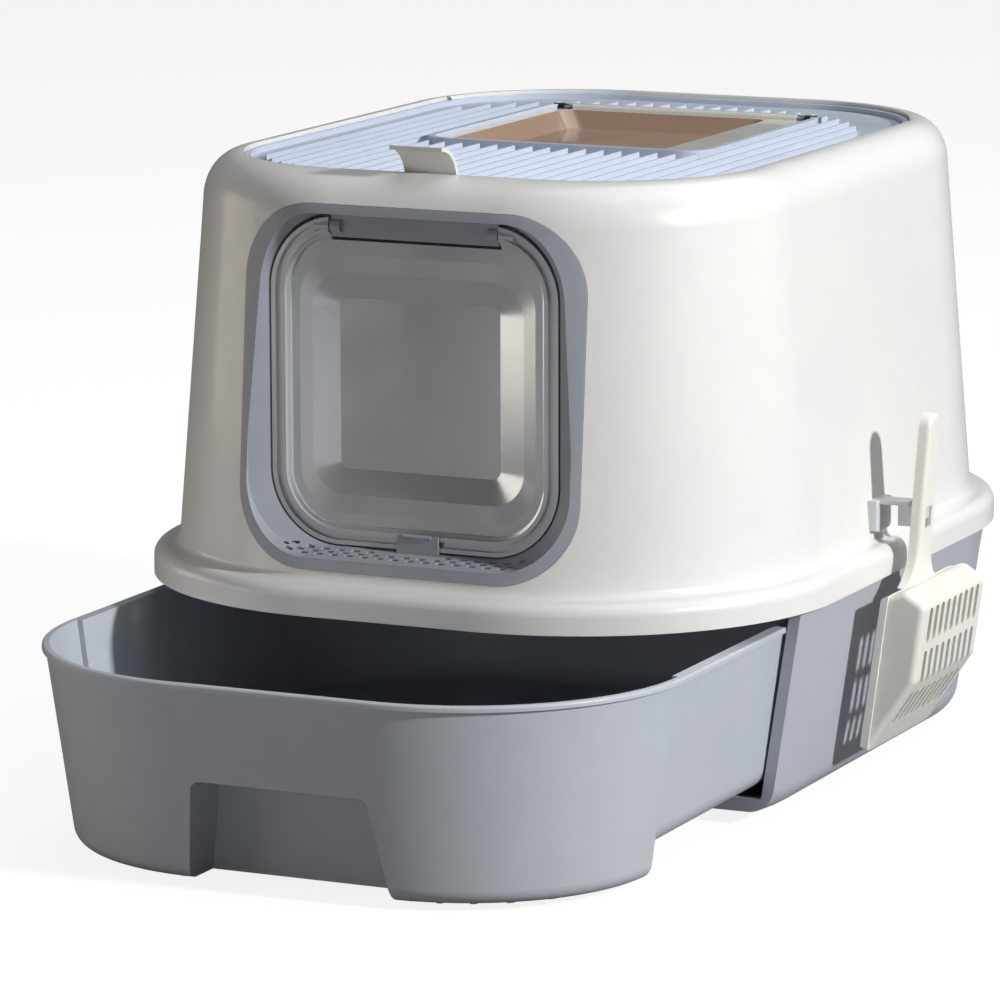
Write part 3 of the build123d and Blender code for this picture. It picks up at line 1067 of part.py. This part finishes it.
os.makedirs("parts", exist_ok=True)
for name, shape in parts.items():
    if isinstance(shape, list):
        shape = Compound(children=shape)
    export_step(Pos(-middle_x, -middle_y, 0) * shape, f"parts/{name}.step")
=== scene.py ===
import math

import bpy
from mathutils import Matrix, Vector

# Dresses the drawer litter box: a moulded-plastic material for every carried-over node, a pale
# floor and backdrop, soft studio lamps, and a camera at the photograph's angle. Every visible
# shape comes from the carried-over nodes. Metres, unless a value says drawing millimetres.

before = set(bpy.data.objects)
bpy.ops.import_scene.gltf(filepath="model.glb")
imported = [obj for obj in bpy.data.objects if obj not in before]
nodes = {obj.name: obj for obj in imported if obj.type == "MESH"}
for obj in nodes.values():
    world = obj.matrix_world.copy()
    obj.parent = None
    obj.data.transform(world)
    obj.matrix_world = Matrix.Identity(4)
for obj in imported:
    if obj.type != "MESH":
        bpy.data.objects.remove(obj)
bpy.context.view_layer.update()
scene = bpy.context.scene

# ---------------------------------------------------------------- values
# From the drawing's coordinates, in millimetres about the middle of the hood, to the frame's.
SHIFT = (-17.5356, 71.6, 0.0)
MM_PER_METRE = 1000

# In drawing millimetres: the skylight is painted pale right of this X, a painted reflection of glare on its
# clear flat border, and above this Z, a painted highlight on its rim's top.
SKYLIGHT_PAINTED_GLARE_X = 64.4
SKYLIGHT_PAINTED_HIGHLIGHT_Z = 365.35

# Noise patterns: features per metre, detail, roughness, and where their grey starts and ends.
DRIFT = (5.5, 3.0, 0.5, 0.35, 0.68)               # broad drift of the colour
MOTTLE = (60.0, 4.0, 0.6, 0.4, 0.62)              # fine mottling of the colour
SMUDGE = (17.0, 5.0, 0.62, 0.32, 0.7)             # uneven gloss
TINTED_DRIFT = (7.0, 3.0, 0.5, 0.35, 0.68)
TINTED_SMUDGE = (21.0, 4.0, 0.6, 0.3, 0.7)
MOTTLE_SHARE = 0.3            # share of the mottling in the colour; the drift has the rest

# Bump patterns: features per metre, and detail.
GRAIN = (900.0, 2.0)                              # mould grain
WAVE = (9.0, 1.0)                                 # faint sink marks
TINTED_GRAIN = (700.0, 2.0)
TINTED_WAVE = (12.0, 1.0)
TINTED_GRAIN_HEIGHT = 0.04
BUMP_DISTANCE = 0.0006
BUMP_STRENGTH = 0.35
TINTED_BUMP_STRENGTH = 0.3

# Plastic.
PLASTIC_IOR = 1.5
COAT_ROUGHNESS = 0.08
TINTED_COAT = 0.3
TINTED_COAT_ROUGHNESS = 0.06
EDGE_WEAR_AND_HIGHLIGHT = (0.515, 0.56)        # pointiness at which an edge starts, and ends, to be lightened, partly as edge wear and partly as a painted highlight
EDGE_WEAR_AND_HIGHLIGHT_GAIN = 1.25            # how much lighter a worn edge with painted highlight is
EDGE_WEAR_AND_HIGHLIGHT_LIFT = 0.03
SUBSURFACE_RADIUS = (1.0, 0.9, 0.8)
SUBSURFACE_SCALE = 0.004

# Floor, backdrop and lamps.
FLOOR_HALF = 9.0
FLOOR_SCALE = 3.0
FLOOR_GLOW = 0.86             # what the camera sees added to the floor
WORLD_LIGHT = 0.06
WORLD_SEEN = 1.0              # the backdrop as the camera sees it
LAMP_TARGET = (0.0, -40.0, 190.0)                 # drawing millimetres

# Camera, solved from the photograph: pixels of its frame, and drawing millimetres.
IMAGE_SIZE = 1000.0
FOCAL = 5840.0
CENTRE_PX = (583.59, 478.25)
AZIMUTH = math.radians(24.04)
ELEVATION = math.radians(10.29)
CAMERA_PLACE = (1385.6, -3106.9, 780.3)
SENSOR_WIDTH = 36.0
CLIP_END = 50.0

# The colour sockets of a mix node, which has a set for each kind of value.
MIX_A, MIX_B, MIX_RESULT = 6, 7, 2


def at(x, y, z):
    """A point given in drawing millimetres, in the frame's metres."""
    return Vector([(value + shift) / MM_PER_METRE for value, shift in zip((x, y, z), SHIFT)])


def rgb(r, g, b):
    """Linear colour from screen values of 0 to 255."""
    def one(v):
        v /= 255.0
        return v / 12.92 if v <= 0.04045 else ((v + 0.055) / 1.055) ** 2.4
    return (one(r), one(g), one(b), 1.0)


# ---------------------------------------------------------------- node helpers
class Graph:
    """A small helper that adds and links the shader nodes of a material or world."""

    def __init__(self, owner):
        self.tree = owner.node_tree
        self.tree.nodes.clear()

    def put(self, socket, value):
        """Links a socket to another, or sets its value."""
        if isinstance(value, bpy.types.NodeSocket):
            self.tree.links.new(value, socket)
        else:
            socket.default_value = value

    def add(self, kind, **inputs):
        """A new node; an underscore stands for the space in an input's name."""
        node = self.tree.nodes.new(kind)
        for name, value in inputs.items():
            self.put(node.inputs[name.replace("_", " ")], value)
        return node

    def math(self, operation, a, b):
        node = self.tree.nodes.new("ShaderNodeMath")
        node.operation = operation
        self.put(node.inputs[0], a)
        self.put(node.inputs[1], b)
        return node.outputs[0]

    def mix(self, factor, a, b):
        """A mix of two colours."""
        node = self.tree.nodes.new("ShaderNodeMix")
        node.data_type = "RGBA"
        self.put(node.inputs[0], factor)
        self.put(node.inputs[MIX_A], a)
        self.put(node.inputs[MIX_B], b)
        return node.outputs[MIX_RESULT]

    def ramp(self, factor, start, end, low=0.0, high=1.0):
        """Grey that runs from low at start to high at end."""
        node = self.tree.nodes.new("ShaderNodeValToRGB")
        self.put(node.inputs[0], factor)
        for element, position, value in zip(node.color_ramp.elements, (start, end), (low, high)):
            element.position = position
            element.color = (value, value, value, 1.0)
        return node.outputs[0]

    def noise(self, place, scale, detail=2.0, roughness=0.5):
        node = self.add("ShaderNodeTexNoise", Vector=place, Scale=scale, Detail=detail, Roughness=roughness)
        return node.outputs["Fac"]

    def pattern(self, place, values, low=0.0, high=1.0):
        """One of the noise patterns above, from low to high."""
        scale, detail, roughness, start, end = values
        return self.ramp(self.noise(place, scale, detail, roughness), start, end, low, high)

    def place(self):
        """Object position, which doesn't slide with the view."""
        return self.tree.nodes.new("ShaderNodeTexCoord").outputs["Object"]

    def bump(self, height, strength):
        node = self.add("ShaderNodeBump", Height=height, Strength=strength, Distance=BUMP_DISTANCE)
        return node.outputs["Normal"]

    def finish(self, shader, kind="ShaderNodeOutputMaterial"):
        """The tree's output, fed by a shader."""
        self.add(kind, Surface=shader)


def new_material(name):
    material = bpy.data.materials.new(name)
    material.use_nodes = True
    return material


# ---------------------------------------------------------------- materials
def plastic(name, colour, shade, rough, grain, coat=0.0, wave=0.0, edge_wear_and_highlight=0.0, specular=0.5, subsurface=0.0):
    """Moulded plastic: slight colour drift, fine grain, uneven gloss, and sharp edges lightened, partly as
    wear and partly as a painted highlight.
    """
    material = new_material(name)
    g = Graph(material)
    place = g.place()
    shaded = g.math("ADD", g.math("MULTIPLY", g.pattern(place, DRIFT), 1.0 - MOTTLE_SHARE),
                    g.math("MULTIPLY", g.pattern(place, MOTTLE), MOTTLE_SHARE))
    base = g.mix(shaded, colour, shade)
    # Sharp edges are painted lighter: partly edge wear, partly a painted highlight where a rounded edge
    # catches the light.
    if edge_wear_and_highlight > 0.0:
        pointed = g.add("ShaderNodeNewGeometry").outputs["Pointiness"]
        worn_and_highlighted_colour = tuple(min(1.0, c * EDGE_WEAR_AND_HIGHLIGHT_GAIN + EDGE_WEAR_AND_HIGHLIGHT_LIFT) for c in colour[:3]) + (1.0,)
        base = g.mix(g.math("MULTIPLY", g.ramp(pointed, *EDGE_WEAR_AND_HIGHLIGHT), edge_wear_and_highlight), base, worn_and_highlighted_colour)
    height = g.math("MULTIPLY", g.noise(place, *GRAIN), grain)
    if wave > 0.0:
        height = g.math("ADD", height, g.math("MULTIPLY", g.noise(place, *WAVE), wave))
    shader = g.add("ShaderNodeBsdfPrincipled", Base_Color=base, Roughness=g.pattern(place, SMUDGE, *rough),
                   IOR=PLASTIC_IOR, Specular_IOR_Level=specular, Normal=g.bump(height, BUMP_STRENGTH))
    if coat > 0.0:
        shader.inputs["Coat Weight"].default_value = coat
        shader.inputs["Coat Roughness"].default_value = COAT_ROUGHNESS
    if subsurface > 0.0:
        shader.inputs["Subsurface Weight"].default_value = subsurface
        shader.inputs["Subsurface Radius"].default_value = SUBSURFACE_RADIUS
        shader.inputs["Subsurface Scale"].default_value = SUBSURFACE_SCALE
    g.finish(shader.outputs["BSDF"])
    return material


def tinted_plastic(name, colour, shade, rough, wave, clarity=0.0, metallic=0.0, painted_glare_colour=None):
    """Smooth tinted plastic with flow marks, as clear as asked, and if wanted a painted pale border: painted
    glare on a flat border and a painted highlight along the rim's top.
    """
    material = new_material(name)
    g = Graph(material)
    place = g.place()
    base = g.mix(g.pattern(place, TINTED_DRIFT), colour, shade)
    # Painted reflection and highlight: pale colour right of the X limit (glare on the clear border) and
    # above the Z limit (the rim's lit top).
    if painted_glare_colour is not None:
        limit = at(SKYLIGHT_PAINTED_GLARE_X, 0.0, SKYLIGHT_PAINTED_HIGHLIGHT_Z)
        split = g.add("ShaderNodeSeparateXYZ", Vector=place)
        painted_glare_mask = g.math("MAXIMUM", g.math("GREATER_THAN", split.outputs["X"], limit.x),
                      g.math("GREATER_THAN", split.outputs["Z"], limit.z))
        base = g.mix(painted_glare_mask, base, painted_glare_colour)
    height = g.math("ADD", g.math("MULTIPLY", g.noise(place, *TINTED_GRAIN), TINTED_GRAIN_HEIGHT),
                    g.math("MULTIPLY", g.noise(place, *TINTED_WAVE), wave))
    shader = g.add("ShaderNodeBsdfPrincipled", Base_Color=base, IOR=PLASTIC_IOR,
                   Roughness=g.pattern(place, TINTED_SMUDGE, *rough), Transmission_Weight=clarity,
                   Metallic=metallic, Coat_Weight=TINTED_COAT, Coat_Roughness=TINTED_COAT_ROUGHNESS,
                   Normal=g.bump(height, TINTED_BUMP_STRENGTH))
    g.finish(shader.outputs["BSDF"])
    return material


def give(material, *names):
    """One material on some carried-over nodes."""
    for name in names:
        slots = nodes[name].data.materials
        slots.clear()
        slots.append(material)


give(plastic("hood_white", rgb(233, 232, 229), rgb(227, 227, 226), (0.28, 0.38), 0.05, coat=0.2, wave=0.25),
     "hood")
give(plastic("tab_white", rgb(228, 227, 222), rgb(220, 219, 215), (0.32, 0.42), 0.05, coat=0.1),
     "lid_tab")
give(plastic("base_blue", rgb(180, 184, 194), rgb(173, 177, 188), (0.38, 0.5), 0.12, wave=0.2),
     "base", "drawer_runners", "drawer_stops")
# The edge values paint sharp edges lighter, partly as wear and partly as a painted highlight.
give(plastic("drawer_blue", rgb(190, 195, 202), rgb(183, 189, 197), (0.34, 0.46), 0.12, wave=0.25, edge_wear_and_highlight=0.2),
     "drawer")
give(plastic("lid_blue", rgb(196, 203, 217), rgb(188, 196, 211), (0.34, 0.46), 0.08, edge_wear_and_highlight=0.2),
     "top_lid")
give(plastic("frame_grey", rgb(160, 164, 173), rgb(152, 156, 166), (0.36, 0.46), 0.1, edge_wear_and_highlight=0.2),
     "door_frame", "door_frame_clips", "door_latch")
give(plastic("holder_grey", rgb(200, 203, 206), rgb(193, 196, 200), (0.36, 0.46), 0.1, edge_wear_and_highlight=0.25),
     "scoop_holder")
give(plastic("scoop_cream", rgb(236, 234, 226), rgb(229, 227, 219), (0.36, 0.46), 0.08, subsurface=0.1),
     "scoop")
give(plastic("pin_grey", rgb(150, 152, 158), rgb(140, 142, 148), (0.4, 0.5), 0.1),
     "lid_hinge_pins", "door_hinge_pins", "skylight_rod", "holder_pins")
give(plastic("cap_dark", rgb(38, 38, 42), rgb(30, 30, 33), (0.4, 0.5), 0.1),
     "skylight_rod_caps")
give(plastic("pad_rubber", rgb(52, 53, 57), rgb(44, 45, 48), (0.75, 0.9), 0.4, specular=0.3),
     "foot_pads", "lid_bumpers")
give(tinted_plastic("flap_grey", rgb(214, 217, 219), rgb(208, 212, 215), (0.14, 0.22), 0.3, metallic=0.5),
     "door_flap")
# The pale border colour is painted glare and a painted highlight on the skylight.
give(tinted_plastic("amber", rgb(178, 150, 131), rgb(168, 139, 119), (0.16, 0.26), 0.4, clarity=0.15,
                    painted_glare_colour=rgb(238, 236, 228)),
     "skylight")

# ---------------------------------------------------------------- floor and backdrop
corners = [(-FLOOR_HALF, -FLOOR_HALF, 0), (FLOOR_HALF, -FLOOR_HALF, 0),
           (FLOOR_HALF, FLOOR_HALF, 0), (-FLOOR_HALF, FLOOR_HALF, 0)]
floor_mesh = bpy.data.meshes.new("floor")
floor_mesh.from_pydata(corners, [], [(0, 1, 2, 3)])
floor = bpy.data.objects.new("floor", floor_mesh)
scene.collection.objects.link(floor)
floor_paint = new_material("floor_paint")
g = Graph(floor_paint)
paint_colour = g.mix(g.noise(g.place(), FLOOR_SCALE), rgb(138, 138, 138), rgb(134, 134, 135))
diffuse = g.add("ShaderNodeBsdfDiffuse", Color=paint_colour)
to_camera = g.add("ShaderNodeLightPath").outputs["Is Camera Ray"]
glow = g.add("ShaderNodeEmission", Color=(1, 1, 1, 1), Strength=g.math("MULTIPLY", to_camera, FLOOR_GLOW))
both = g.add("ShaderNodeAddShader")
g.put(both.inputs[0], diffuse.outputs["BSDF"])
g.put(both.inputs[1], glow.outputs["Emission"])
g.finish(both.outputs["Shader"])
floor_mesh.materials.append(floor_paint)

world = bpy.data.worlds.new("studio")
scene.world = world
world.use_nodes = True
g = Graph(world)
world_light = g.add("ShaderNodeBackground", Color=(0.93, 0.96, 1.0, 1.0), Strength=WORLD_LIGHT)
world_seen = g.add("ShaderNodeBackground", Color=(1, 1, 1, 1), Strength=WORLD_SEEN)
world_mix = g.add("ShaderNodeMixShader")
g.put(world_mix.inputs[0], g.add("ShaderNodeLightPath").outputs["Is Camera Ray"])
g.put(world_mix.inputs[1], world_light.outputs["Background"])
g.put(world_mix.inputs[2], world_seen.outputs["Background"])
g.finish(world_mix.outputs["Shader"], "ShaderNodeOutputWorld")


# ---------------------------------------------------------------- lamps
def area_lamp(name, towards, distance, size, power, colour):
    """A soft lamp in a direction from the object, turned to it."""
    lamp = bpy.data.lights.new(name, "AREA")
    lamp.shape = "RECTANGLE"
    lamp.size = size[0]
    lamp.size_y = size[1]
    lamp.energy = power
    lamp.color = colour
    obj = bpy.data.objects.new(name, lamp)
    scene.collection.objects.link(obj)
    target = at(*LAMP_TARGET)
    obj.location = target + Vector(towards).normalized() * distance
    obj.rotation_euler = (target - obj.location).to_track_quat("-Z", "Y").to_euler()


area_lamp("key", (0.91, -0.155, 0.39), 3.0, (0.2, 0.2), 82.0, (1.0, 0.995, 0.985))
area_lamp("sky", (0.25, 0.3, 1.0), 3.2, (3.2, 3.2), 58.0, (0.94, 0.97, 1.0))
area_lamp("left", (-0.70, -0.71, 0.01), 1.4, (0.8, 0.36), 1.8, (1.0, 0.91, 0.82))
area_lamp("far_left", (-1.0, -0.12, 0.10), 2.4, (1.2, 1.0), 7.5, (1.0, 0.88, 0.76))
area_lamp("front", (0.20, -0.97, 0.14), 3.4, (0.9, 0.5), 3.0, (0.95, 0.98, 1.0))
area_lamp("low", (0.16, -0.98, -0.12), 1.09, (1.2, 0.24), 0.36, (1.0, 1.0, 1.0))

# ---------------------------------------------------------------- camera
level = math.cos(ELEVATION)
forward = Vector((-math.sin(AZIMUTH) * level, math.cos(AZIMUTH) * level, -math.sin(ELEVATION)))
right = forward.cross(Vector((0, 0, 1))).normalized()
up = right.cross(forward)
# The photograph's middle lies off the solved centre, so the camera is turned towards it.
middle = IMAGE_SIZE / 2
aim = (forward * FOCAL + right * (middle - CENTRE_PX[0]) + up * (CENTRE_PX[1] - middle)).normalized()
camera_right = aim.cross(up).normalized()
camera_up = camera_right.cross(aim)
lens = bpy.data.cameras.new("camera")
lens.sensor_width = SENSOR_WIDTH
lens.lens = FOCAL * SENSOR_WIDTH / IMAGE_SIZE
lens.clip_end = CLIP_END
camera = bpy.data.objects.new("camera", lens)
scene.collection.objects.link(camera)
axes = Matrix((camera_right, camera_up, -aim)).transposed()
camera.matrix_world = Matrix.Translation(at(*CAMERA_PLACE)) @ axes.to_4x4()
scene.camera = camera
scene.view_settings.view_transform = "Standard"

bpy.context.view_layer.update()
